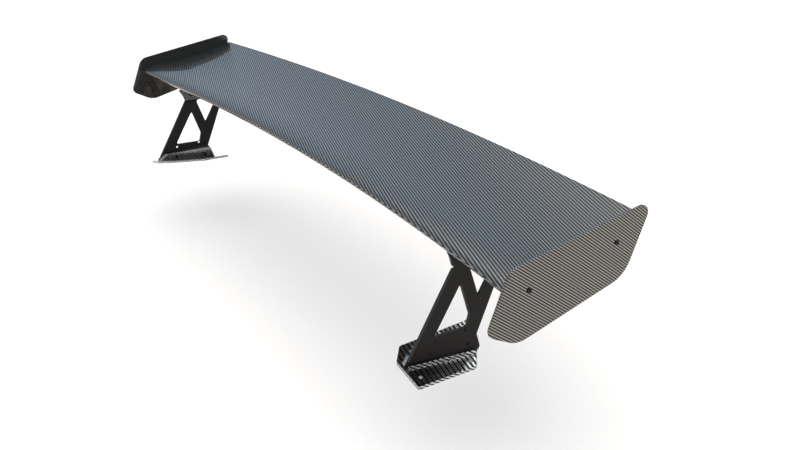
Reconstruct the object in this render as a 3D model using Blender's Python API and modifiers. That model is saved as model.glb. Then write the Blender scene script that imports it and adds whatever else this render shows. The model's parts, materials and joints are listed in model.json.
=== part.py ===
"""Racing rear wing: hollow carbon aerofoil, end plates, uprights and feet.

Frame: X across the car (+X is the car's left), -Y is forward, +Z is up.
The origin is the bottom centre of the bounding box.  Units are metres.
"""
import math

import bpy
import bmesh
from mathutils import Matrix, Vector

MM = 0.001

# origin shift from the wing datum to the bounding-box bottom centre, mm
DATUM_Y = -69.47
DATUM_Z = 219.02

# aerofoil, mm unless said otherwise
HALF_SPAN = 781.5
CHORD = 262.0
NOSE_Y = -13.6
NOSE_Z = 5.9
SWEEP = 48.4
INCIDENCE = math.radians(11.4)
CAMBER = 0.078
CAMBER_AT = 0.42
THICKNESS = 0.148
TRAILING_HALF = 1.1
SKIN = 2.2
SKIN_GAP = 0.2
CHORD_STEPS = 22
SPAN_STEPS = 20
FIT = 0.3

# end plates
PLATE_THICK = 4.0
PLATE_CORNERS = [(-60.5, 39.2, 28.0), (201.2, 84.2, 14.0), (157.6, -24.9, 48.0),
                 (-41.0, -76.2, 42.0), (-95.0, -48.2, 14.0)]
PLATE_SCREWS = [(-25.7, 2.2), (134.0, 33.0)]
SCREW_RADIUS = 2.0
INSERT_RADIUS = 4.0

# ribs and spar
END_RIB = 10.0
INNER_RIB = 6.0
INNER_RIB_X = 290.0
SPAR_Y = 52.0
SPAR_Z = 4.0
SPAR_RADIUS = 10.0
SPAR_WALL = 1.5

# uprights and the fins that carry the wing
UPRIGHT_X = 592.75
UPRIGHT_THICK = 6.5
FIN_THICK = 3.2
FIN_X = 591.1
STEP_X = 593.0
PIVOT = (5.0, -26.0)
ANGLE_BOLT = (81.0, -54.0)
ANGLE_RANGE = math.radians(6.0)
BOLT_RADIUS = 4.0
ANGLE_BOLT_RADIUS = 3.0
UPRIGHT_CLEAR = 5.0
UPRIGHT_TOP = (-25.5, 113.0)
UPRIGHT_EDGE = [(84.5, -62.0, 30.0), (37.4, -175.1, 5.0), (45.0, -200.0, 4.0), (41.1, -206.4, 2.0),
                (-94.8, -188.2, 3.0), (-93.4, -183.3, 5.0), (-10.6, -41.6, 5.0)]
UPRIGHT_TRIANGLE = [(2.1, -73.1, 3.0), (22.6, -135.7, 6.0), (17.2, -157.6, 4.0),
                    (-48.4, -156.4, 4.0)]
UPRIGHT_KITE = [(16.8, -45.2, 5.0), (75.6, -45.2, 4.0), (38.3, -108.0, 3.0)]
FIN_RUN = (-24.6, 118.0)
FIN_EDGE = [(104.0, -52.0, 8.0), (92.0, -68.0, 9.0), (72.0, -68.0, 9.0),
            (58.0, -42.5, 14.0), (-13.0, -42.8, 3.0)]
FIN_SLOT = (-31.0, 123.0)
UPRIGHT_STEP = [(-45.0, -46.0), (53.0, -46.0), (66.0, -70.5), (96.0, -70.5), (108.0, -54.0),
                (125.0, -20.0), (125.0, 40.0), (-45.0, 40.0)]

# feet
FOOT_SLOPE_X = -0.25
FOOT_SLOPE_Y = -0.10
FOOT_TOP_Z = -202.0
FOOT_REF = (596.0, -26.0)
FLANGE_THICK = 5.5
FOOT_OUTLINE = [(636.0, -103.5, 3.0), (577.0, -105.0, 3.0), (547.5, -81.0, 8.0),
                (535.0, 3.0, 0.0), (534.0, 14.0, 0.0), (585.0, 47.0, 0.0), (592.0, 43.0, 6.0),
                (625.0, 17.0, 10.0)]
TAIL_CREASE = ((535.0, 3.0), (590.0, 38.0))
TAIL_TIP = (530.0, 74.0)
TAIL_RISE = 6.0
WALL_FRONT = (-100.0, -84.0, -173.5, 8.5)
WALL_REAR = (49.0, 37.0, -167.5, 22.0)
WALL_TILT = 0.15
WALL_X = UPRIGHT_X - UPRIGHT_THICK / 2.0 - FIT
SPOT_RADIUS = 6.3
SPOT_DEPTH = 0.8
LIP_RUN = (-97.0, 34.0)
LIP_HEIGHT = 6.5
LIP_THICK = 5.5
FOOT_HOLES = [(619.0, -88.0), (612.0, 14.0), (556.0, -58.0), (551.0, 34.0)]
FOOT_HOLE_RADIUS = 3.3
LOWER_HOLES = [(-55.1, -183.6), (19.7, -188.1)]
SPARE_HOLES = [(-45.9, -163.9), (14.7, -160.5)]
LOWER_BOLT_RADIUS = 3.0


LOOKS = {"carbon": ((0.03, 0.035, 0.04), 0.0, 0.18),
         "carbon_matt": ((0.05, 0.05, 0.05), 0.0, 0.5),
         "satin_black": ((0.02, 0.018, 0.017), 0.0, 0.4),
         "black_steel": ((0.02, 0.02, 0.02), 0.9, 0.35),
         "zinc": ((0.5, 0.5, 0.48), 1.0, 0.35),
         "brass": ((0.6, 0.45, 0.2), 1.0, 0.35)}


# ---------------------------------------------------------------- scene helpers
def clear_scene():
    for item in list(bpy.data.objects):
        bpy.data.objects.remove(item, do_unlink=True)


def make_material(name, look):
    colour, metallic, roughness = LOOKS[look]
    material = bpy.data.materials.new(name)
    material.use_nodes = True
    shader = material.node_tree.nodes["Principled BSDF"]
    shader.inputs["Base Color"].default_value = (*colour, 1.0)
    shader.inputs["Metallic"].default_value = metallic
    shader.inputs["Roughness"].default_value = roughness
    return material


def world_point(x, y, z):
    return Vector((x, y + DATUM_Y, z + DATUM_Z)) * MM


def new_object(name, mesh, collection, look=None):
    item = bpy.data.objects.new(name, mesh)
    collection.objects.link(item)
    if look:
        mesh.materials.clear()
        mesh.materials.append(make_material(name, look))
    return item


def mesh_from_bmesh(name, work):
    bmesh.ops.recalc_face_normals(work, faces=work.faces[:])
    mesh = bpy.data.meshes.new(name)
    work.to_mesh(mesh)
    work.free()
    return mesh


def add_bevel(item, width):
    bevel = item.modifiers.new("edge_break", "BEVEL")
    bevel.width = width * MM
    bevel.segments = 1
    bevel.limit_method = "ANGLE"
    bevel.angle_limit = math.radians(35.0)


def boolean(target, tool, operation="DIFFERENCE"):
    modifier = target.modifiers.new(tool.name, "BOOLEAN")
    modifier.operation = operation
    modifier.solver = "EXACT"
    modifier.object = tool
    tool.hide_render = True
    tool.display_type = "WIRE"


def ride_on(parent, items):
    for item in items:
        item.parent = parent
        item.matrix_parent_inverse = parent.matrix_world.inverted()


# ---------------------------------------------------------------- outlines
def rounded_outline(corners, arc_steps=5):
    """Polygon of (a, b, radius) corners with each corner turned into an arc."""
    points = []
    count = len(corners)
    for index in range(count):
        before = Vector(corners[index - 1][:2])
        here = Vector(corners[index][:2])
        after = Vector(corners[(index + 1) % count][:2])
        radius = corners[index][2]
        if radius <= 0.0:
            points.append(here)
            continue
        back = (before - here).normalized()
        ahead = (after - here).normalized()
        half = back.angle(ahead) / 2.0
        centre = here + (back + ahead).normalized() * (radius / math.sin(half))
        start = here + back * (radius / math.tan(half)) - centre
        finish = here + ahead * (radius / math.tan(half)) - centre
        turn = start.angle_signed(finish)
        for step in range(arc_steps + 1):
            angle = -turn * step / arc_steps
            points.append(centre + Matrix.Rotation(angle, 2) @ start)
    return points


def arc_points(centre, radius, start, sweep, steps):
    points = []
    for step in range(steps + 1):
        angle = start + sweep * step / steps
        points.append(Vector((centre[0] + radius * math.cos(angle),
                              centre[1] + radius * math.sin(angle))))
    return points


def circle_outline(centre, radius, steps=16):
    return arc_points(centre, radius, 0.0, 2.0 * math.pi, steps)[:-1]


def arc_slot_outline(pivot, start, sweep, radius):
    """Slot for a bolt of this radius that turns with start about pivot."""
    arm = Vector(start) - Vector(pivot)
    base = math.atan2(arm.y, arm.x)
    end = base + sweep
    far_centre = arc_points(pivot, arm.length, end, 0.0, 1)[0]
    outer = arc_points(pivot, arm.length + radius, base, sweep, 3)
    far_cap = arc_points(far_centre, radius, end, math.pi, 6)
    inner = arc_points(pivot, arm.length - radius, end, -sweep, 3)
    near_cap = arc_points(start, radius, base + math.pi, math.pi, 6)
    return outer + far_cap[1:-1] + inner + near_cap[1:-1]


def flat_mesh(name, loops, thickness, collection):
    """Mesh of a 2D curve: the first loop is the outline, the others are openings."""
    curve = bpy.data.curves.new(name, "CURVE")
    curve.dimensions = "2D"
    curve.fill_mode = "BOTH"
    curve.extrude = thickness * MM / 2.0
    for loop in loops:
        spline = curve.splines.new("POLY")
        spline.points.add(len(loop) - 1)
        for target, point in zip(spline.points, loop):
            target.co = (point[0] * MM, point[1] * MM, 0.0, 1.0)
        spline.use_cyclic_u = True
    holder = bpy.data.objects.new(name, curve)
    collection.objects.link(holder)
    bpy.context.view_layer.update()
    graph = bpy.context.evaluated_depsgraph_get()
    mesh = bpy.data.meshes.new_from_object(holder.evaluated_get(graph))
    bpy.data.objects.remove(holder, do_unlink=True)
    bpy.data.curves.remove(curve)
    work = bmesh.new()
    work.from_mesh(mesh)
    bmesh.ops.remove_doubles(work, verts=work.verts[:], dist=0.00001)
    bpy.data.meshes.remove(mesh)
    return mesh_from_bmesh(name, work)


def plate(name, loops, centre_x, thickness, look, collection, bevel=0.0):
    """Flat plate across X, drawn in the wing datum's Y and Z."""
    mesh = flat_mesh(name, loops, thickness, collection)
    mesh.transform(Matrix(((0, 0, 1, 0), (1, 0, 0, 0), (0, 1, 0, 0), (0, 0, 0, 1))))
    item = new_object(name, mesh, collection, look)
    item.location = world_point(centre_x, 0.0, 0.0)
    if bevel > 0.0:
        add_bevel(item, bevel)
    return item


def turned(name, profile, x_start, direction, centre, look, collection, steps=16):
    """Turned piece about X: profile is (radius, distance) pairs along direction."""
    mesh = bpy.data.meshes.new(name)
    points = [(radius * MM, 0.0, distance * MM) for radius, distance in profile]
    edges = [(index, index + 1) for index in range(len(points) - 1)]
    if profile[0] == profile[-1]:
        points.pop()
        edges[-1] = (len(points) - 1, 0)
    mesh.from_pydata(points, edges, [])
    item = new_object(name, mesh, collection, look)
    screw = item.modifiers.new("turn", "SCREW")
    screw.axis = "Z"
    screw.angle = 2.0 * math.pi
    screw.steps = steps
    screw.render_steps = steps
    screw.use_merge_vertices = True
    screw.merge_threshold = 0.00001
    screw.use_smooth_shade = False
    item.location = world_point(x_start, centre[0], centre[1])
    item.rotation_euler = (0.0, direction * math.pi / 2.0, 0.0)
    return item


# ---------------------------------------------------------------- aerofoil
def half_thickness(u):
    curve = (0.2969 * math.sqrt(u) - 0.1260 * u - 0.3516 * u ** 2
             + 0.2843 * u ** 3 - 0.1015 * u ** 4)
    return CHORD * 5.0 * THICKNESS * curve + TRAILING_HALF * u


def camber_line(u):
    """Height below the chord line and slope of the mean line, per unit chord."""
    if u < CAMBER_AT:
        scale = CAMBER / CAMBER_AT ** 2
        return -scale * (2.0 * CAMBER_AT * u - u * u), -scale * 2.0 * (CAMBER_AT - u)
    scale = CAMBER / (1.0 - CAMBER_AT) ** 2
    height = -scale * (1.0 - 2.0 * CAMBER_AT + 2.0 * CAMBER_AT * u - u * u)
    return height, -scale * 2.0 * (CAMBER_AT - u)


def sweep_shift(x):
    return -SWEEP * (x / HALF_SPAN) ** 2


def section_point(u, height, x):
    """Point at chord fraction u and height off the mean line, in wing datum mm."""
    line, slope = camber_line(min(max(u, 0.0), 1.0))
    length = math.hypot(1.0, slope)
    along = u * CHORD - height * slope / length
    above = line * CHORD + height / length
    y = NOSE_Y + sweep_shift(x) + along * math.cos(INCIDENCE) - above * math.sin(INCIDENCE)
    z = NOSE_Z + along * math.sin(INCIDENCE) + above * math.cos(INCIDENCE)
    return y, z


def chord_fractions(steps):
    return [0.5 * (1.0 - math.cos(math.pi * step / steps)) for step in range(steps + 1)]


def offset_surface(u, inset):
    """Chord fraction and height of the surface moved inward by inset."""
    small = 0.0005
    low = max(u - small, 0.0)
    high = min(u + small, 1.0)
    rise = (half_thickness(high) - half_thickness(low)) / ((high - low) * CHORD)
    if u < small:
        rise = 60.0
    length = math.hypot(1.0, rise)
    return u + inset * rise / length / CHORD, half_thickness(u) - inset / length


def skin_loop(side, x):
    """Closed loop round one skin at station x: outer surface out, inner surface back."""
    loop = []
    for u in chord_fractions(CHORD_STEPS):
        height = max(half_thickness(u), SKIN_GAP)
        loop.append(section_point(u, side * height, x))
    for u in reversed(chord_fractions(CHORD_STEPS)):
        inner_u, height = offset_surface(u, SKIN)
        height = max(height, SKIN_GAP)
        loop.append(section_point(min(inner_u, 1.0), side * height, x))
    return loop


def cavity_outline(x, inset):
    """Outline of the hollow inside the skins, moved in by inset, nose to tail and back."""
    upper = []
    lower = []
    for u in chord_fractions(CHORD_STEPS):
        inner_u, height = offset_surface(u, SKIN + inset)
        if height < SKIN_GAP + inset + 0.6:
            continue
        upper.append(Vector(section_point(inner_u, height, x)))
        lower.append(Vector(section_point(inner_u, -height, x)))
    return upper, lower


def make_skin(name, side, collection):
    """One skin, lofted from tip to tip along the swept planform."""
    work = bmesh.new()
    rings = []
    reach = HALF_SPAN - PLATE_THICK - FIT
    for step in range(SPAN_STEPS + 1):
        x = reach * (2.0 * step / SPAN_STEPS - 1.0)
        ring = [work.verts.new(Vector((x, y, z)) * MM) for y, z in skin_loop(side, x)]
        rings.append(ring)
    count = len(rings[0])
    for first, second in zip(rings[:-1], rings[1:]):
        for index in range(count):
            after = (index + 1) % count
            work.faces.new((first[index], first[after], second[after], second[index]))
    for ring in (rings[0], rings[-1]):
        for index in range(count // 2 - 1):
            mate = count - 1 - index
            work.faces.new((ring[index], ring[index + 1], ring[mate - 1], ring[mate]))
    bmesh.ops.remove_doubles(work, verts=work.verts[:], dist=0.000002)
    item = new_object(name, mesh_from_bmesh(name, work), collection, "carbon")
    item.location = world_point(0.0, 0.0, 0.0)
    return item


# ---------------------------------------------------------------- fasteners
def socket_bolt(name, centre, x_start, direction, head, shank, length, collection):
    """Socket-head bolt whose head seats at x_start and whose shank runs along direction."""
    radius, height = head
    profile = [(0.0, length), (shank - 0.5, length), (shank, length - 0.5), (shank, 0.0),
               (radius, 0.0), (radius, -height * 0.85), (radius * 0.9, -height),
               (radius * 0.5, -height), (radius * 0.5, -height * 0.45), (0.0, -height * 0.45)]
    return turned(name, profile, x_start, direction, centre, "black_steel", collection)


def ring(name, centre, x_start, direction, inner, outer, length, look, collection, steps=16):
    profile = [(inner, length), (outer, length), (outer, 0.0), (inner, 0.0), (inner, length)]
    return turned(name, profile, x_start, direction, centre, look, collection, steps)


def hexagon_nut(name, centre, centre_x, bore, across, height, collection):
    corner = across / math.sqrt(3.0)
    loops = [circle_outline(centre, corner, 6), circle_outline(centre, bore)]
    return plate(name, loops, centre_x, height, "black_steel", collection, 0.4)


# ---------------------------------------------------------------- cutters
def box_cutter(name, low, high, collection):
    work = bmesh.new()
    bmesh.ops.create_cube(work, size=1.0)
    size = Vector(high) - Vector(low)
    for vert in work.verts:
        vert.co = Vector((vert.co.x * size.x, vert.co.y * size.y, vert.co.z * size.z)) * MM
    item = new_object(name, mesh_from_bmesh(name, work), collection)
    item.location = world_point(*((Vector(low) + Vector(high)) / 2.0))
    return item


def drill(name, point, normal, radius, depth, collection):
    work = bmesh.new()
    bmesh.ops.create_cone(work, cap_ends=True, segments=20, radius1=radius * MM,
                          radius2=radius * MM, depth=depth * MM)
    item = new_object(name, mesh_from_bmesh(name, work), collection)
    item.location = point
    item.rotation_euler = normal.to_track_quat("Z", "Y").to_euler()
    return item


# ---------------------------------------------------------------- ribs and fins
def rib_inset(x, thickness):
    """Gap that lets a square-edged rib stand inside the swept skins."""
    return FIT + 2.0 * SWEEP * abs(x) / HALF_SPAN ** 2 * thickness / 2.0


def rib_plate(name, x, thickness, openings, collection):
    upper, lower = cavity_outline(x, rib_inset(x, thickness))
    loops = [upper + list(reversed(lower))] + openings
    return plate(name, loops, x, thickness, "carbon_matt", collection)


def underside(y, x, inset=0.0):
    """Height at y on station x of the wing's lower surface, moved in by inset."""
    low = 0.0
    high = 1.0
    for _ in range(40):
        middle = (low + high) / 2.0
        u, height = offset_surface(middle, inset)
        if section_point(u, -height, x)[0] < y:
            low = middle
        else:
            high = middle
    u, height = offset_surface(low, inset)
    return section_point(u, -height, x)[1]


def make_fin(name, side, collection):
    """Rib that comes through a slot in the lower skin as the fin the uprights carry."""
    x = side * FIN_X
    inset = rib_inset(x, FIN_THICK)
    upper, lower = cavity_outline(x, inset)
    front, rear = [Vector((y, underside(y, x, SKIN + inset))) for y in FIN_RUN]
    corners = [(rear.x, rear.y, 0.0)] + FIN_EDGE + [(front.x, front.y, 0.0)]
    edge = rounded_outline(corners, 4)
    behind = [point for point in reversed(lower) if point.x > rear.x + 1.0]
    ahead = [point for point in reversed(lower) if point.x < front.x - 1.0]
    loops = [upper + behind + edge + ahead,
             circle_outline((SPAR_Y, SPAR_Z), SPAR_RADIUS + FIT, 24),
             circle_outline(PIVOT, BOLT_RADIUS + FIT),
             circle_outline(ANGLE_BOLT, ANGLE_BOLT_RADIUS + FIT)]
    return plate(name, loops, x, FIN_THICK, "carbon", collection, 0.5)


# ---------------------------------------------------------------- uprights
def make_upright(name, side, collection, cutters):
    """Truss plate whose head is stepped back to half its thickness beside the fin."""
    top = []
    for step in range(9):
        y = UPRIGHT_TOP[0] + (UPRIGHT_TOP[1] - UPRIGHT_TOP[0]) * step / 8
        top.append(Vector((y, underside(y, UPRIGHT_X) - UPRIGHT_CLEAR)))
    corners = [(top[-1].x, top[-1].y, 0.0)] + UPRIGHT_EDGE + [(top[0].x, top[0].y, 0.0)]
    outline = top + rounded_outline(corners, 4)[1:-1]
    loops = [outline, rounded_outline(UPRIGHT_TRIANGLE, 4), rounded_outline(UPRIGHT_KITE, 4),
             circle_outline(PIVOT, BOLT_RADIUS + FIT),
             arc_slot_outline(PIVOT, ANGLE_BOLT, ANGLE_RANGE, ANGLE_BOLT_RADIUS + FIT)]
    for centre in LOWER_HOLES + SPARE_HOLES:
        loops.append(circle_outline(centre, LOWER_BOLT_RADIUS + FIT))
    upright = plate(name, loops, side * UPRIGHT_X, UPRIGHT_THICK, "satin_black", collection)
    inner_face = UPRIGHT_X - UPRIGHT_THICK / 2.0
    depth = STEP_X - inner_face + 2.0
    step = plate(name + "_step", [UPRIGHT_STEP], side * (STEP_X - depth / 2.0), depth, None,
                 cutters)
    boolean(upright, step)
    add_bevel(upright, 0.5)
    return upright


# ---------------------------------------------------------------- feet
def foot_plane(x, y):
    """Height of the flange's upper surface at a left-hand x and y."""
    return (FOOT_TOP_Z + FOOT_SLOPE_X * (x - FOOT_REF[0])
            + FOOT_SLOPE_Y * (y - FOOT_REF[1]))


def tilted_sheet(name, side, outline, slopes, level, collection, look=None):
    """Flat outline sheared onto a tilted plane; level is the plane's height at x = y = 0."""
    loop = [Vector((side * point[0], point[1])) for point in outline]
    height = FLANGE_THICK * math.sqrt(1.0 + FOOT_SLOPE_X ** 2 + FOOT_SLOPE_Y ** 2)
    mesh = flat_mesh(name, [loop], height, collection)
    shear = Matrix.Identity(4)
    shear[2][0] = slopes[0] * side
    shear[2][1] = slopes[1]
    mesh.transform(shear)
    sheet = new_object(name, mesh, collection, look)
    sheet.location = world_point(0.0, 0.0, level - height / 2.0)
    return sheet


def make_tail(name, side, collection):
    """Rear inboard corner of the flange, folded up along the crease."""
    start, end = [Vector(point) for point in TAIL_CREASE]
    tip = Vector(TAIL_TIP)
    along = (end - start).normalized()
    across = Vector((-along.y, along.x))
    lift = TAIL_RISE / (tip - start).dot(across)
    slopes = (FOOT_SLOPE_X + lift * across.x, FOOT_SLOPE_Y + lift * across.y)
    level = foot_plane(start.x, start.y) - slopes[0] * start.x - slopes[1] * start.y
    near_start = start - across * 3.0 + along * 4.0
    near_end = end - across * 3.0 - along * 8.0
    corners = [(near_start.x, near_start.y, 0.0), (near_end.x, near_end.y, 0.0),
               (end.x - 2.0, end.y, 0.0), (tip.x, tip.y, 3.0), (start.x, start.y, 0.0)]
    return tilted_sheet(name, side, rounded_outline(corners, 4), slopes, level, collection)


def wall_face(y):
    """Distance of the wall's inboard face from its outboard face at y."""
    front = WALL_FRONT[0]
    return WALL_FRONT[3] + (WALL_REAR[3] - WALL_FRONT[3]) * (y - front) / (WALL_REAR[0] - front)


def spot_face(y):
    """Left-hand x of the flat that a lower bolt's washer sits on."""
    return WALL_X - wall_face(y - SPOT_RADIUS) + SPOT_DEPTH


def make_wall(name, side, collection):
    """Wedge-shaped wall inboard of the upright: the hull of its eight corners."""
    work = bmesh.new()
    for low_y, high_y, top, _ in (WALL_FRONT, WALL_REAR):
        for y, width, inner_z in ((low_y, wall_face(low_y), None), (high_y, wall_face(high_y), top)):
            for x in (WALL_X, WALL_X - width):
                if inner_z is None:
                    z = foot_plane(x, y) - FLANGE_THICK * 0.5
                else:
                    z = top - WALL_TILT * (WALL_X - x)
                work.verts.new(Vector((side * x, y, z)) * MM)
    bmesh.ops.convex_hull(work, input=work.verts[:])
    wall = new_object(name, mesh_from_bmesh(name, work), collection)
    wall.location = world_point(0.0, 0.0, 0.0)
    add_bevel(wall, 2.0)
    return wall


def make_lip(name, side, collection):
    """Low lip that keeps the upright's outer face."""
    outer = UPRIGHT_X + UPRIGHT_THICK / 2.0 + FIT
    root = -FLANGE_THICK * 0.5
    corners = [(LIP_RUN[0], foot_plane(outer, LIP_RUN[0]) + root, 0.0),
               (LIP_RUN[1], foot_plane(outer, LIP_RUN[1]) + root, 0.0),
               (LIP_RUN[1], foot_plane(outer, LIP_RUN[1]) + LIP_HEIGHT, 2.0),
               (LIP_RUN[0], foot_plane(outer, LIP_RUN[0]) + LIP_HEIGHT, 2.0)]
    return plate(name, [rounded_outline(corners, 3)], side * (outer + LIP_THICK / 2.0),
                 LIP_THICK, None, collection)


def make_foot(name, side, collection, cutters):
    foot = tilted_sheet(name, side, rounded_outline(FOOT_OUTLINE, 4),
                        (FOOT_SLOPE_X, FOOT_SLOPE_Y), foot_plane(0.0, 0.0), collection, "carbon")
    boolean(foot, make_tail(name + "_tail", side, cutters), "UNION")
    boolean(foot, make_wall(name + "_wall", side, cutters), "UNION")
    boolean(foot, make_lip(name + "_lip", side, cutters), "UNION")
    normal = Vector((-FOOT_SLOPE_X * side, -FOOT_SLOPE_Y, 1.0)).normalized()
    for index, (x, y) in enumerate(FOOT_HOLES):
        point = world_point(side * x, y, foot_plane(x, y))
        tool = drill(name + "_fixing_" + str(index), point, normal, FOOT_HOLE_RADIUS, 30.0,
                     cutters)
        boolean(foot, tool)
    across = Vector((1.0, 0.0, 0.0))
    for index, centre in enumerate(LOWER_HOLES):
        point = world_point(side * (WALL_X - 12.0), *centre)
        tool = drill(name + "_cross_" + str(index), point, across, LOWER_BOLT_RADIUS + FIT, 40.0,
                     cutters)
        boolean(foot, tool)
        point = world_point(side * (spot_face(centre[0]) - 10.0), *centre)
        tool = drill(name + "_spot_" + str(index), point, across, SPOT_RADIUS, 20.0, cutters)
        boolean(foot, tool)
    return foot


# ---------------------------------------------------------------- assembly
def make_tip(side, tag, wing):
    """Closing rib, threaded inserts, end plate and its screws; returns the pieces."""
    rib_outer = HALF_SPAN - PLATE_THICK - FIT
    rib_inner = rib_outer - END_RIB
    insert_holes = [circle_outline(centre, INSERT_RADIUS + FIT) for centre in PLATE_SCREWS]
    screw_holes = [circle_outline(centre, SCREW_RADIUS + FIT) for centre in PLATE_SCREWS]
    outline = rounded_outline(PLATE_CORNERS, 8)
    pieces = [rib_plate("rib_end_" + tag, side * (rib_inner + END_RIB / 2.0), END_RIB,
                        insert_holes, wing),
              plate("endplate_" + tag, [outline] + screw_holes,
                    side * (HALF_SPAN - PLATE_THICK / 2.0), PLATE_THICK, "carbon", wing, 0.6)]
    for centre, place in zip(PLATE_SCREWS, ("front", "rear")):
        pieces.append(ring("plate_insert_" + place + "_" + tag, centre, side * rib_inner, side,
                           SCREW_RADIUS + FIT, INSERT_RADIUS, END_RIB, "brass", wing))
        pieces.append(socket_bolt("plate_screw_" + place + "_" + tag, centre,
                                  side * (HALF_SPAN + 0.2), -side, (3.6, 1.8), SCREW_RADIUS,
                                  PLATE_THICK + 9.0, wing))
    return pieces


def make_head(side, tag, wing):
    """Pivot and angle fasteners; returns the ones that turn with the wing."""
    fin_face = FIN_X - FIN_THICK / 2.0 - 0.2
    outer_face = UPRIGHT_X + UPRIGHT_THICK / 2.0 + 0.2
    socket_bolt("pivot_bolt_" + tag, PIVOT, side * fin_face, side, (6.5, 5.0), BOLT_RADIUS,
                15.5, wing)
    hexagon_nut("pivot_nut_" + tag, PIVOT, side * (outer_face + 3.25), BOLT_RADIUS + 0.2, 13.0,
                6.5, wing)
    bolt = socket_bolt("angle_bolt_" + tag, ANGLE_BOLT, side * fin_face, side, (5.0, 4.0),
                       ANGLE_BOLT_RADIUS, 15.0, wing)
    washer = ring("angle_washer_" + tag, ANGLE_BOLT, side * outer_face, side,
                  ANGLE_BOLT_RADIUS + 0.2, 6.0, 1.6, "zinc", wing)
    nut = hexagon_nut("angle_nut_" + tag, ANGLE_BOLT, side * (outer_face + 1.8 + 2.5),
                      ANGLE_BOLT_RADIUS + 0.2, 10.0, 5.0, wing)
    return [bolt, washer, nut]


def make_foot_fasteners(side, tag, wing):
    """Lower bolts, threaded into the upright through the foot's wall."""
    for centre, place in zip(LOWER_HOLES, ("front", "rear")):
        seat = spot_face(centre[0]) - 0.2
        ring("foot_washer_" + place + "_" + tag, centre, side * seat, -side,
             LOWER_BOLT_RADIUS + 0.2, 5.5, 1.2, "zinc", wing)
        head_seat = seat - 1.4
        length = UPRIGHT_X + UPRIGHT_THICK / 2.0 - 2.0 - head_seat
        socket_bolt("foot_bolt_" + place + "_" + tag, centre, side * head_seat, side,
                    (5.0, 4.0), LOWER_BOLT_RADIUS, length, wing)


def build():
    clear_scene()
    wing = bpy.data.collections.new("racing_rear_wing")
    cutters = bpy.data.collections.new("cutters")
    bpy.context.scene.collection.children.link(wing)
    bpy.context.scene.collection.children.link(cutters)
    pivot = bpy.data.objects.new("wing_pivot", None)
    pivot.location = world_point(0.0, *PIVOT)
    wing.objects.link(pivot)
    bpy.context.view_layer.update()

    upper = make_skin("wing_skin_upper", 1.0, wing)
    lower = make_skin("wing_skin_lower", -1.0, wing)
    spar_reach = HALF_SPAN - PLATE_THICK - FIT - END_RIB - FIT
    spar = ring("spar_tube", (SPAR_Y, SPAR_Z), -spar_reach, 1.0, SPAR_RADIUS - SPAR_WALL,
                SPAR_RADIUS, 2.0 * spar_reach, "carbon_matt", wing, 24)
    spar_hole = circle_outline((SPAR_Y, SPAR_Z), SPAR_RADIUS + FIT, 24)
    moving = [upper, lower, spar]
    moving.append(rib_plate("rib_centre", 0.0, INNER_RIB, [spar_hole], wing))
    for side, tag in ((1.0, "left"), (-1.0, "right")):
        slot_half = Vector((FIN_THICK / 2.0 + FIT, 0.0, 0.0))
        middle = Vector((side * FIN_X, 0.0, 0.0))
        slot = box_cutter("fin_slot_" + tag, middle - slot_half + Vector((0.0, FIN_SLOT[0], -70.0)),
                          middle + slot_half + Vector((0.0, FIN_SLOT[1], 40.0)), cutters)
        boolean(lower, slot)
        moving.append(rib_plate("rib_inner_" + tag, side * INNER_RIB_X, INNER_RIB, [spar_hole],
                                wing))
        moving.append(make_fin("rib_mount_" + tag, side, wing))
        moving += make_tip(side, tag, wing)
        moving += make_head(side, tag, wing)
        make_upright("upright_" + tag, side, wing, cutters)
        make_foot("foot_" + tag, side, wing, cutters)
        make_foot_fasteners(side, tag, wing)
    ride_on(pivot, moving)


build()
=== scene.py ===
import json
import math

import bpy
import numpy as np
from mathutils import Matrix, Vector


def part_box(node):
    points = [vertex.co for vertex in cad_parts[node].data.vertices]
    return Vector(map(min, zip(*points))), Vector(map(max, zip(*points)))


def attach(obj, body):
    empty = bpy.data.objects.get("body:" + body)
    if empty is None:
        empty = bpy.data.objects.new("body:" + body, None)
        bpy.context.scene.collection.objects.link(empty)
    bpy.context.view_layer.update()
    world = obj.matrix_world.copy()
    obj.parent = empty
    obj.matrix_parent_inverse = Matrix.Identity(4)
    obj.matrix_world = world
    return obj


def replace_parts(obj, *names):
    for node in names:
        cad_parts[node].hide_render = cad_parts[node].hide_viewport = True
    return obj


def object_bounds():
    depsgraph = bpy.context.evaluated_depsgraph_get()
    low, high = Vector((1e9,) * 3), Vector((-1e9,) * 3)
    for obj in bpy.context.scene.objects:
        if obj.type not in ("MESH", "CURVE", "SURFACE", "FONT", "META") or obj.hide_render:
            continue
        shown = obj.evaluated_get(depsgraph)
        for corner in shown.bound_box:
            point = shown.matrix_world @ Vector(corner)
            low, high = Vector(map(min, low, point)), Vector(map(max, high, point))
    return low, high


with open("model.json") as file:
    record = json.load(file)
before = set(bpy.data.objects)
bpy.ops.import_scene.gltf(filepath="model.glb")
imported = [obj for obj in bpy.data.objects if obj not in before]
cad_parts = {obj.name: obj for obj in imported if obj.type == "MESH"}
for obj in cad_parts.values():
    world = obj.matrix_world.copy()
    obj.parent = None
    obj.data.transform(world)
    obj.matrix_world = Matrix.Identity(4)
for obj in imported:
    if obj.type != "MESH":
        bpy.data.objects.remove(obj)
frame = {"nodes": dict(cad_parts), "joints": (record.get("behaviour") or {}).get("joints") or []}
nodes = frame["nodes"]
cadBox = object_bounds()
print("frame loaded:", len(nodes), "nodes")

# the curves of the wing are worked out from a datum; the pivot bolts are 5 mm behind it and 26 mm below
pivotFromDatum = Vector((0.0, 0.005, -0.026))
datum = Vector(frame["joints"][0]["pos_m"]) - pivotFromDatum

spanWise = (1.0, 0.0, 0.0)
rearWise = (0.0, 1.0, 0.0)
upWise = (0.0, 0.0, 1.0)


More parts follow.
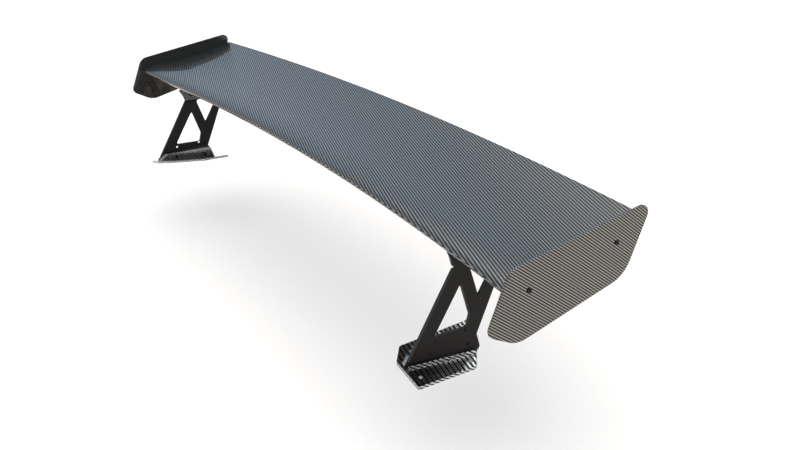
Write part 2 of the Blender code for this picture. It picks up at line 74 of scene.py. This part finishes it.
class Wire:
    # one socket of a material; arithmetic on it adds the Math nodes
    def __init__(self, tree, socket):
        self.tree = tree
        self.socket = socket

    def node(self, kind, settings=None, inputs=None, output=0):
        made = self.tree.nodes.new(kind)
        for name, value in (settings or {}).items():
            setattr(made, name, value)
        for name, value in (inputs or {}).items():
            if isinstance(value, Wire):
                self.tree.links.new(value.socket, made.inputs[name])
            else:
                made.inputs[name].default_value = value
        return Wire(self.tree, made.outputs[output])

    def maths(self, operation, *values):
        # values are all the operands in their order, this wire among them
        return self.node("ShaderNodeMath", {"operation": operation}, dict(enumerate(values)))

    def __add__(self, other):
        return self.maths("ADD", self, other)

    def __radd__(self, other):
        return self.maths("ADD", other, self)

    def __sub__(self, other):
        return self.maths("SUBTRACT", self, other)

    def __rsub__(self, other):
        return self.maths("SUBTRACT", other, self)

    def __mul__(self, other):
        return self.maths("MULTIPLY", self, other)

    def __rmul__(self, other):
        return self.maths("MULTIPLY", other, self)

    def __truediv__(self, other):
        return self.maths("DIVIDE", self, other)

    def __mod__(self, other):
        return self.maths("FLOORED_MODULO", self, other)

    def __lt__(self, other):
        return self.maths("LESS_THAN", self, other)

    def floor(self):
        return self.maths("FLOOR", self)

    def fract(self):
        return self.maths("FRACT", self)

    def sine(self):
        return self.maths("SINE", self)

    def size(self):
        return self.maths("ABSOLUTE", self)

    def pingPong(self, length):
        return self.maths("PINGPONG", self, length)

    def dot(self, direction):
        return self.node("ShaderNodeVectorMath", {"operation": "DOT_PRODUCT"},
                         {0: self, 1: direction}, output="Value")

    def ramp(self, start, end, low=0.0):
        # rises smoothly from low at start to 1 at end
        return self.node("ShaderNodeMapRange", {"interpolation_type": "SMOOTHSTEP"},
                         {"Value": self, "From Min": start, "From Max": end, "To Min": low})

    def noise(self, scale, detail, roughness=0.5):
        return self.node("ShaderNodeTexNoise", {}, {"Vector": self, "Scale": scale,
                                                    "Detail": detail, "Roughness": roughness})

    def mixColour(self, low, high):
        # this wire is the factor, low and high are colours or wires
        return self.node("ShaderNodeMix", {"data_type": "RGBA"}, {0: self, 6: low, 7: high}, output=2)

    def mixNumber(self, low, high):
        return low + self * (high - low)


def newMaterial(name, uniform):
    # uniform holds the numbers and colours that are the same all over the surface
    material = bpy.data.materials.new(name)
    material.use_nodes = True
    tree = material.node_tree
    shader = tree.nodes["Principled BSDF"]
    for socketName, value in uniform.items():
        shader.inputs[socketName].default_value = value
    return material, tree, shader


def plug(tree, wire, shader, socketName):
    tree.links.new(wire.socket, shader.inputs[socketName])


def place(tree, uvName=None):
    # where the pattern is read: the piece's own cloth map, or the object's own coordinates
    if uvName:
        made = tree.nodes.new("ShaderNodeUVMap")
        made.uv_map = uvName
        return Wire(tree, made.outputs["UV"])
    made = tree.nodes.new("ShaderNodeTexCoord")
    return Wire(tree, made.outputs["Object"])


def roundAndRoughen(tree, shader, spot, relief, look):
    # edges look rounded by look["edge"] metres, and relief stands look["bumpDepth"] metres high
    edge = spot.node("ShaderNodeBevel", {"samples": 4}, {"Radius": look["edge"]})
    bump = spot.node("ShaderNodeBump", {}, {"Height": relief, "Strength": look["bump"],
                                            "Distance": look["bumpDepth"], "Normal": edge})
    plug(tree, bump, shader, "Normal")


def rgba(red, green, blue):
    return (red, green, blue, 1.0)


def unit(x, y, z):
    length = math.sqrt(x * x + y * y + z * z)
    return (x / length, y / length, z / length)


def carbonTwill(name, look, stripe, across, uvName=None, boxed=False):
    # two and two twill: the tow that shows at a point is light where
    # (floor(a / tow) - floor(b / tow)) mod 4 < 2, with a and b running along the two tow directions;
    # clear resin smooths the steps of the cells into long diagonal lines
    material, tree, shader = newMaterial(name, {
        "Coat Roughness": look["coatRoughness"],
        "Coat IOR": look["coatIor"],
        "Coat Weight": look["coat"],
        "Specular IOR Level": 0.0,
    })
    spot = place(tree, uvName)
    alongStripe = spot.dot(stripe)
    acrossStripe = spot.dot(across)
    if boxed:
        # on a wall the cloth is turned over the edge: height stands in for the way that is lost
        facing = spot.node("ShaderNodeNewGeometry", output="True Normal")
        wall = facing.dot(upWise).size() < look["wallBelow"]
        steepness = facing.dot(rearWise).size() * look["endStretch"] + look["wallStretch"]
        turned = spot.dot(upWise) * steepness + spot.dot(rearWise)
        acrossStripe = wall.mixNumber(acrossStripe, turned)
    a = (alongStripe + acrossStripe) * (math.sqrt(0.5) / look["tow"])
    b = (alongStripe - acrossStripe) * (math.sqrt(0.5) / look["tow"])
    cells = ((a.floor() - b.floor()) % 4.0) < 2.0
    # the smooth lines follow the cells: (a - b + 1.5) mod 4, folded at 2
    lines = (((a - b + 1.5) % 4.0) / 2.0).pingPong(1.0).ramp(look["lineFrom"], look["lineTo"])
    light = cells * look["cells"] + lines * (1.0 - look["cells"])
    # each tow is a low round ridge: 4 f (1 - f) across its width f
    ridgeA = a.fract() * (1.0 - a.fract()) * 4.0
    ridgeB = b.fract() * (1.0 - b.fract()) * 4.0
    ridge = cells.mixNumber(ridgeB, ridgeA)
    cloud = spot.noise(look["cloudScale"], 3.0)
    fibre = spot.noise(look["fibreScale"], 1.0)
    # painted shade: the sides of each tow are painted darker than its crest
    shine = (1.0 - look["ridge"]) + ridge * look["ridge"]
    shine = shine + (cloud - 0.5) * look["cloud"] + (fibre - 0.5) * look["fibre"]
    if boxed:
        # painted shade: the flat part of the foot is painted darker towards its front, standing in for
        # a dark reflection, and its walls aren't
        paintedFrontShade = spot.dot(rearWise).ramp(look["paintedShadeFrom"], look["paintedShadeTo"], look["paintedShadeFront"])
        shine = shine * wall.mixNumber(paintedFrontShade, 1.0)
    if look["inboard"] < 1.0:
        # painted shade: faces turned to the middle of the wing are painted darker
        facing = spot.node("ShaderNodeNewGeometry", output="True Normal")
        inboard = facing.dot(spanWise) * spot.dot(spanWise) < look["inboardBelow"]
        shine = shine * inboard.mixNumber(1.0, look["inboard"])
    black = rgba(0.0, 0.0, 0.0)
    # the weave is the cloth's own pattern, but the brightness of the light tows is a painted sheen
    # standing in for the shine of their fibres
    lightTow = shine.mixColour(black, rgba(*look["light"]))
    darkTow = shine.mixColour(black, rgba(*look["dark"]))
    plug(tree, light.mixColour(darkTow, lightTow), shader, "Base Color")
    plug(tree, light.mixNumber(look["darkMetal"], 1.0), shader, "Metallic")
    plug(tree, light.mixNumber(look["darkRoughness"], look["lightRoughness"]), shader, "Roughness")
    roundAndRoughen(tree, shader, spot, ridge, look)
    return material


wingCarbon = {
    "tow": 0.0017,             # width of a tow in metres
    "cells": 0.25,             # how far the square cells break the diagonal lines
    "lineFrom": 0.36,          # the diagonal lines turn from dark to light between these
    "lineTo": 0.64,
    # painted sheen: colour of the light tows, standing in for their shine
    "light": (0.205, 0.20, 0.19),
    "dark": (0.006, 0.006, 0.006),
    "darkMetal": 0.0,
    "lightRoughness": 0.2,
    "darkRoughness": 0.3,
    "coat": 0.5,
    "coatRoughness": 0.03,
    "coatIor": 1.5,
    "ridge": 0.14,             # painted shade: how much darker the sides of a tow are painted than its crest
    "cloud": 0.12,
    "cloudScale": 9.0,
    "fibre": 0.12,
    "fibreScale": 2600.0,
    "bump": 0.25,
    "bumpDepth": 0.0002,
    "edge": 0.0004,
    "inboard": 1.0,            # painted shade: how much of its brightness an inward face keeps
    "inboardBelow": -0.3,      # inward is where the normal's x times the place's x is below this
}
# painted shade and reflection: the underside is the wing's own cloth given darker, browner tows
shadedUndersideCarbon = dict(wingCarbon, light=(0.12, 0.108, 0.095), dark=(0.012, 0.011, 0.010))
plateCarbon = dict(wingCarbon, tow=0.0013, light=(0.25, 0.236, 0.216), dark=(0.006, 0.0055, 0.005),
                   edge=0.002, coat=0.35, inboard=0.4)
finCarbon = dict(wingCarbon, light=(0.10, 0.092, 0.084), dark=(0.05, 0.046, 0.042), edge=0.001)
footCarbon = dict(wingCarbon, tow=0.0032, light=(0.62, 0.62, 0.61), dark=(0.002, 0.002, 0.002),
                  edge=0.002, lightRoughness=0.16, cells=0.15)
footCarbon.update({
    "wallBelow": 0.6,          # a wall is where the normal's height is under this
    "wallStretch": 1.5,        # how many times closer the lines are up a side wall
    "endStretch": 3.0,         # and how much closer still up a front or rear wall
    "paintedShadeFront": 0.3,          # painted shade: how much of its brightness the front of the flat part keeps
    "paintedShadeFrom": 0.03,          # metres behind the foot's front edge
    "paintedShadeTo": 0.085,
})

clothStripe = unit(-0.95, 0.31, 0)
clothAcross = unit(0.31, 0.95, 0)
wingTwill = carbonTwill("wing_carbon_twill", wingCarbon, clothStripe, clothAcross, "cloth")
shadedUndersideTwill = carbonTwill("shaded_underside_carbon_twill", shadedUndersideCarbon, clothStripe, clothAcross,
                             "cloth")

plateStripe = unit(0, 0.80, -0.60)
plateAcross = unit(0, 0.60, 0.80)
plateTwill = carbonTwill("endplate_carbon_twill", plateCarbon, plateStripe, plateAcross)
finTwill = carbonTwill("fin_carbon_twill", finCarbon, plateStripe, plateAcross)


def makeFootTwill(tag, side):
    # the lines run nearly along the span, turned the opposite way on the two feet
    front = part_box("foot_" + tag)[0][1]
    look = dict(footCarbon)
    look["paintedShadeFrom"] = front + footCarbon["paintedShadeFrom"]
    look["paintedShadeTo"] = front + footCarbon["paintedShadeTo"]
    return carbonTwill("foot_carbon_twill_" + tag, look, unit(0.995, -0.09 * side, 0),
                       unit(0.09 * side, 0.995, 0), boxed=True)


footTwillLeft = makeFootTwill("left", 1.0)
footTwillRight = makeFootTwill("right", -1.0)


def paintedMetal(name, look):
    # fine pebbled coat: noise in the colour, the roughness and the bump, and a painted highlight on the
    # cut edges
    material, tree, shader = newMaterial(name, {
        "Metallic": 0.0,
        "Specular IOR Level": look["specular"],
        "Coat Weight": 0.0,
        "Coat Roughness": 0.2,
    })
    spot = place(tree)
    grain = spot.noise(look["grainScale"], 4.0, 0.6)
    cloud = spot.noise(look["cloudScale"], 3.0)
    blend = (grain - 0.5) * look["grain"] + (cloud - 0.5) * look["cloud"] + 0.5
    coat = blend.mixColour(rgba(*look["dark"]), rgba(*look["light"]))
    if look["edgeHighlight"] > 0.0:
        # painted highlight: the cut edges, the faces that don't look along the span, are painted
        # lighter
        facing = spot.node("ShaderNodeNewGeometry", output="True Normal")
        edgeHighlight = facing.dot(spanWise).size() < look["edgeHighlightBelow"]
        coat = (edgeHighlight * look["edgeHighlight"]).mixColour(coat, rgba(*look["edgeHighlightColour"]))
    roughness = look["roughness"] + (cloud - 0.5) * look["roughCloud"]
    plug(tree, coat, shader, "Base Color")
    plug(tree, roughness + (grain - 0.5) * look["roughGrain"], shader, "Roughness")
    roundAndRoughen(tree, shader, spot, grain, look)
    return material


uprightCoat = {
    "specular": 0.12,
    "grain": 0.5,
    "grainScale": 1500.0,
    "cloud": 0.5,
    "cloudScale": 14.0,
    "dark": (0.0085, 0.0070, 0.0062),
    "light": (0.0165, 0.0136, 0.0120),
    "edgeHighlight": 0.05,               # painted highlight: how far the cut edges are painted towards the highlight colour
    "edgeHighlightBelow": 0.7,
    "edgeHighlightColour": (0.35, 0.34, 0.33),
    "roughness": 0.42,
    "roughCloud": 0.18,
    "roughGrain": 0.1,
    "bump": 0.2,
    "bumpDepth": 0.0003,
    "edge": 0.0006,
}
ribCoat = dict(uprightCoat, specular=0.3, grain=0.8, grainScale=700.0, cloud=0.4, edgeHighlight=0.0,
               dark=(0.014, 0.014, 0.015), light=(0.05, 0.05, 0.053), roughness=0.55, bump=0.3,
               edge=0.0004)

blackAnodised = paintedMetal("upright_black_anodised", uprightCoat)
mattCarbon = paintedMetal("inner_matt_carbon", ribCoat)


def turnedMetal(name, look):
    # rings left by the lathe, fine ripples by distance along the span and fine noise
    material, tree, shader = newMaterial(name, {"Metallic": look["metal"], "Specular IOR Level": 0.5})
    spot = place(tree)
    ripple = (spot.dot(spanWise) * look["rippleScale"]).sine()
    grain = spot.noise(look["grainScale"], 3.0)
    blend = 0.5 + ripple * look["ripple"] + (grain - 0.5) * look["grain"]
    plug(tree, blend.mixColour(rgba(*look["dark"]), rgba(*look["light"])), shader, "Base Color")
    plug(tree, look["roughness"] + (grain - 0.5) * look["roughGrain"], shader, "Roughness")
    roundAndRoughen(tree, shader, spot, grain, look)
    return material


zincPlate = {
    "metal": 1.0,
    "dark": (0.45, 0.46, 0.47),
    "light": (0.68, 0.69, 0.70),
    "ripple": 0.12,
    "rippleScale": 9000.0,
    "grain": 0.7,
    "grainScale": 900.0,
    "roughness": 0.3,
    "roughGrain": 0.2,
    "bump": 0.15,
    "bumpDepth": 0.0001,
    "edge": 0.0003,
}
blackOxide = dict(zincPlate, metal=0.9, dark=(0.012, 0.012, 0.013), light=(0.04, 0.04, 0.042),
                  roughness=0.42)
insertBrass = dict(zincPlate, dark=(0.52, 0.36, 0.13), light=(0.78, 0.58, 0.26))

blackSteel = turnedMetal("black_oxide_steel", blackOxide)
zincSteel = turnedMetal("zinc_plated_steel", zincPlate)
brass = turnedMetal("insert_brass", insertBrass)
print("finishes made")


wing = {
    "halfSpan": 0.7772,        # skins stop short of the plates
    "sweepSpan": 0.7815,
    "sweep": 0.0484,           # tips sit this far ahead of the middle
    "chord": 0.262,
    "noseY": -0.0136,          # the nose in the middle of the span, from the datum
    "noseZ": 0.0059,
    "incidence": 11.4,
    "camber": 0.078,
    "camberAt": 0.42,
    "thickness": 0.148,
    "trailingHalf": 0.0011,
    "skin": 0.0022,
    "gap": 0.0002,             # each skin keeps this far from the camber line
    "chordSteps": 96,
    "spanSteps": 140,
    "slopeStep": 0.00001,      # fraction of the chord over which the slope is measured
    "noseZone": 0.0005,        # ahead of this fraction the slope is noseSlope
    "noseSlope": 60.0,
    "sharpAngle": 35.0,
}


def halfThickness(u):
    # four-digit thickness curve with a blunt tail: u is the fraction of the chord from the nose
    curve = 0.2969 * np.sqrt(u) - 0.1260 * u - 0.3516 * u ** 2 + 0.2843 * u ** 3 - 0.1015 * u ** 4
    return wing["chord"] * 5 * wing["thickness"] * curve + wing["trailingHalf"] * u


def thicknessSlope(u):
    # rise of the half thickness over the distance along the chord
    ahead = np.maximum(u - wing["slopeStep"], 0.0)
    behind = np.minimum(u + wing["slopeStep"], 1.0)
    slope = (halfThickness(behind) - halfThickness(ahead)) / (behind - ahead) / wing["chord"]
    return np.where(u < wing["noseZone"], wing["noseSlope"], slope)


def camberLine(u):
    # two parabolas that meet at camberAt, hanging down because the wing pushes down
    p = wing["camberAt"]
    front = wing["camber"] / p ** 2
    rear = wing["camber"] / (1 - p) ** 2
    line = np.where(u < p, -front * (2 * p * u - u ** 2), -rear * (1 - 2 * p + 2 * p * u - u ** 2))
    slope = np.where(u < p, -front * 2 * (p - u), -rear * 2 * (p - u))
    return line, slope


def sweepAt(x):
    # parabola: nothing in the middle, sweep at sweepSpan
    return wing["sweep"] * (x / wing["sweepSpan"]) ** 2


def sectionPoint(u, height, x):
    # a point height above the camber line, turned by the incidence and carried forward by the sweep
    line, slope = camberLine(u)
    length = np.hypot(1.0, slope)
    along = u * wing["chord"] - height * slope / length
    above = line * wing["chord"] + height / length
    turn = math.radians(wing["incidence"])
    y = wing["noseY"] - sweepAt(x)
    y = y + along * math.cos(turn) - above * math.sin(turn)
    z = wing["noseZ"] + along * math.sin(turn) + above * math.cos(turn)
    return np.stack(np.broadcast_arrays(x, y, z), axis=-1) + np.array(datum)


def skinRing(side):
    # closed loop of the skin's section: outer curve from nose to tail, inner curve back to the nose,
    # the inner one moved in by the skin's thickness square to the outer one
    u = 0.5 - 0.5 * np.cos(np.linspace(0.0, math.pi, wing["chordSteps"] + 1))
    height = halfThickness(u)
    slope = thicknessSlope(u)
    length = np.hypot(1.0, slope)
    innerU = np.clip(u + wing["skin"] * slope / length / wing["chord"], 0.0, 1.0)
    outerHeight = side * np.maximum(height, wing["gap"])
    innerHeight = side * np.maximum(height - wing["skin"] / length, wing["gap"])
    return np.concatenate([u, innerU[::-1]]), np.concatenate([outerHeight, innerHeight[::-1]])


def skinFaces(rows, columns, side):
    # quads between neighbouring rings, and a ladder of quads from outer to inner curve at each end
    index = np.arange(rows * columns).reshape(rows, columns)
    after = np.roll(index, -1, axis=0)
    around = np.stack([index[:, :-1], index[:, 1:], after[:, 1:], after[:, :-1]], axis=-1)
    outerRow = index[:rows // 2]
    innerRow = index[rows // 2:][::-1]
    first = np.stack([outerRow[:-1, 0], outerRow[1:, 0], innerRow[1:, 0], innerRow[:-1, 0]], axis=-1)
    last = np.stack([outerRow[:-1, -1], innerRow[:-1, -1], innerRow[1:, -1], outerRow[1:, -1]], axis=-1)
    faces = np.concatenate([around.reshape(-1, 4), first, last])
    return faces[:, ::-1] if side > 0 else faces


def clothMap(points, x):
    # metres along the span, and metres along the surface from the nose less the sweep
    half = len(points) // 2
    middle = points[:, len(x) // 2]
    distance = np.linalg.norm(np.diff(middle, axis=0), axis=-1)
    travelled = np.concatenate([[0.0], np.cumsum(distance)])
    travelled[half:] = travelled[half - 1] - (travelled[half:] - travelled[half])
    cloth = np.broadcast_arrays(x[None, :], travelled[:, None] - sweepAt(x)[None, :])
    return np.stack(cloth, axis=-1).reshape(-1, 2)


def wingSkin(name, side, finish):
    # a grid of the section's ring by places along the span; side is 1 above and -1 below
    x = np.linspace(-wing["halfSpan"], wing["halfSpan"], wing["spanSteps"] + 1)
    ringU, ringHeight = skinRing(side)
    points = sectionPoint(ringU[:, None], ringHeight[:, None], x[None, :])
    faces = skinFaces(len(ringU), len(x), side)
    mesh = bpy.data.meshes.new(name)
    mesh.from_pydata(points.reshape(-1, 3).tolist(), [], faces.tolist())
    corner = np.empty(len(mesh.loops), dtype=np.int32)
    mesh.loops.foreach_get("vertex_index", corner)
    layer = mesh.uv_layers.new(name="cloth")
    layer.data.foreach_set("uv", clothMap(points, x)[corner].ravel())
    mesh.polygons.foreach_set("use_smooth", np.ones(len(mesh.polygons), dtype=bool))
    mesh.set_sharp_from_angle(angle=math.radians(wing["sharpAngle"]))
    mesh.update()
    mesh.materials.append(finish)
    skin = bpy.data.objects.new(name, mesh)
    bpy.context.scene.collection.objects.link(skin)
    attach(skin, "wing")
    return skin


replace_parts(wingSkin("upper_skin_shell", 1.0, wingTwill), "wing_skin_upper")
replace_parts(wingSkin("lower_skin_shell", -1.0, shadedUndersideTwill), "wing_skin_lower")
print("wing skins made")


# the finish of a carried-over node is the first whose name its own name starts with
nodeFinishes = {
    "endplate": plateTwill,
    "rib_mount": finTwill,
    "rib": mattCarbon,
    "spar": mattCarbon,
    "upright": blackAnodised,
    "foot_left": footTwillLeft,
    "foot_right": footTwillRight,
    "foot_washer": zincSteel,
    "angle_washer": zincSteel,
    "plate_insert": brass,
    "": blackSteel,            # every bolt, screw and nut
}

for name, node in nodes.items():
    if name.startswith("wing_skin"):
        continue
    matches = [finish for start, finish in nodeFinishes.items() if name.startswith(start)]
    node.data.materials.clear()
    node.data.materials.append(matches[0])
print("finishes placed on the carried-over nodes")


studio = {
    "floorDrop": 0.14,         # the feet hang this far above the floor
    "floorSize": 40.0,
    "floorCells": 8,
    "floorColour": (0.955, 0.915, 0.875),
    "lowLight": (1.0, 1.0, 1.0),
    "wallLight": (0.58, 0.73, 0.90),
    "ceilingLight": (1.76, 1.73, 1.70),
    "wallStart": 0.12,         # height of a direction is the sine of its angle above level
    "wallFull": 0.28,
    "ceilingStart": 0.5,
    "ceilingFull": 0.75,
    "lens": 38.05,
    "cameraBack": (1.53000, -0.71569, 0.52462),   # from the datum to the camera
    "right": (0.543556, 0.839373, 0.0),
    "up": (-0.328944, 0.213016, 0.920011),
    "back": (0.772232, -0.500077, 0.391893),
}


def makeFloor():
    # flat square grid under the wing
    steps = np.linspace(-studio["floorSize"], studio["floorSize"], studio["floorCells"] + 1)
    gridX, gridY = np.meshgrid(steps, steps, indexing="ij")
    level = np.full_like(gridX, cadBox[0][2] - studio["floorDrop"])
    points = np.stack([gridX, gridY, level], axis=-1).reshape(-1, 3)
    index = np.arange(gridX.size).reshape(gridX.shape)
    quads = np.stack([index[:-1, :-1], index[1:, :-1], index[1:, 1:], index[:-1, 1:]], axis=-1)
    mesh = bpy.data.meshes.new("studio_floor")
    mesh.from_pydata(points.tolist(), [], quads.reshape(-1, 4).tolist())
    material, _, _ = newMaterial("studio_floor_paper", {
        "Base Color": rgba(*studio["floorColour"]),
        "Roughness": 0.9,
        "Specular IOR Level": 0.1,
    })
    mesh.materials.append(material)
    floor = bpy.data.objects.new("studio_floor", mesh)
    bpy.context.scene.collection.objects.link(floor)


def makeWorld():
    # light by the height of a direction: white low down, blue round the sides, a wide soft ceiling
    world = bpy.data.worlds.new("studio_light")
    world.use_nodes = True
    tree = world.node_tree
    coordinates = tree.nodes.new("ShaderNodeTexCoord")
    height = Wire(tree, coordinates.outputs["Generated"]).dot(upWise)
    wall = height.ramp(studio["wallStart"], studio["wallFull"])
    ceiling = height.ramp(studio["ceilingStart"], studio["ceilingFull"])
    sides = wall.mixColour(rgba(*studio["lowLight"]), rgba(*studio["wallLight"]))
    background = tree.nodes["Background"]
    background.inputs["Strength"].default_value = 1.0
    plug(tree, ceiling.mixColour(sides, rgba(*studio["ceilingLight"])), background, "Color")
    bpy.context.scene.world = world


def makeCamera():
    data = bpy.data.cameras.new("studio_camera")
    data.lens = studio["lens"]
    data.sensor_width = 36.0
    data.clip_start = 0.01
    data.clip_end = 100.0
    camera = bpy.data.objects.new("studio_camera", data)
    turn = Matrix((studio["right"], studio["up"], studio["back"])).transposed()
    camera.matrix_world = Matrix.Translation(datum + Vector(studio["cameraBack"])) @ turn.to_4x4()
    bpy.context.scene.collection.objects.link(camera)
    bpy.context.scene.camera = camera
    bpy.context.scene.view_settings.view_transform = "Standard"


makeFloor()
makeWorld()
makeCamera()
print("stage, lights and camera placed")
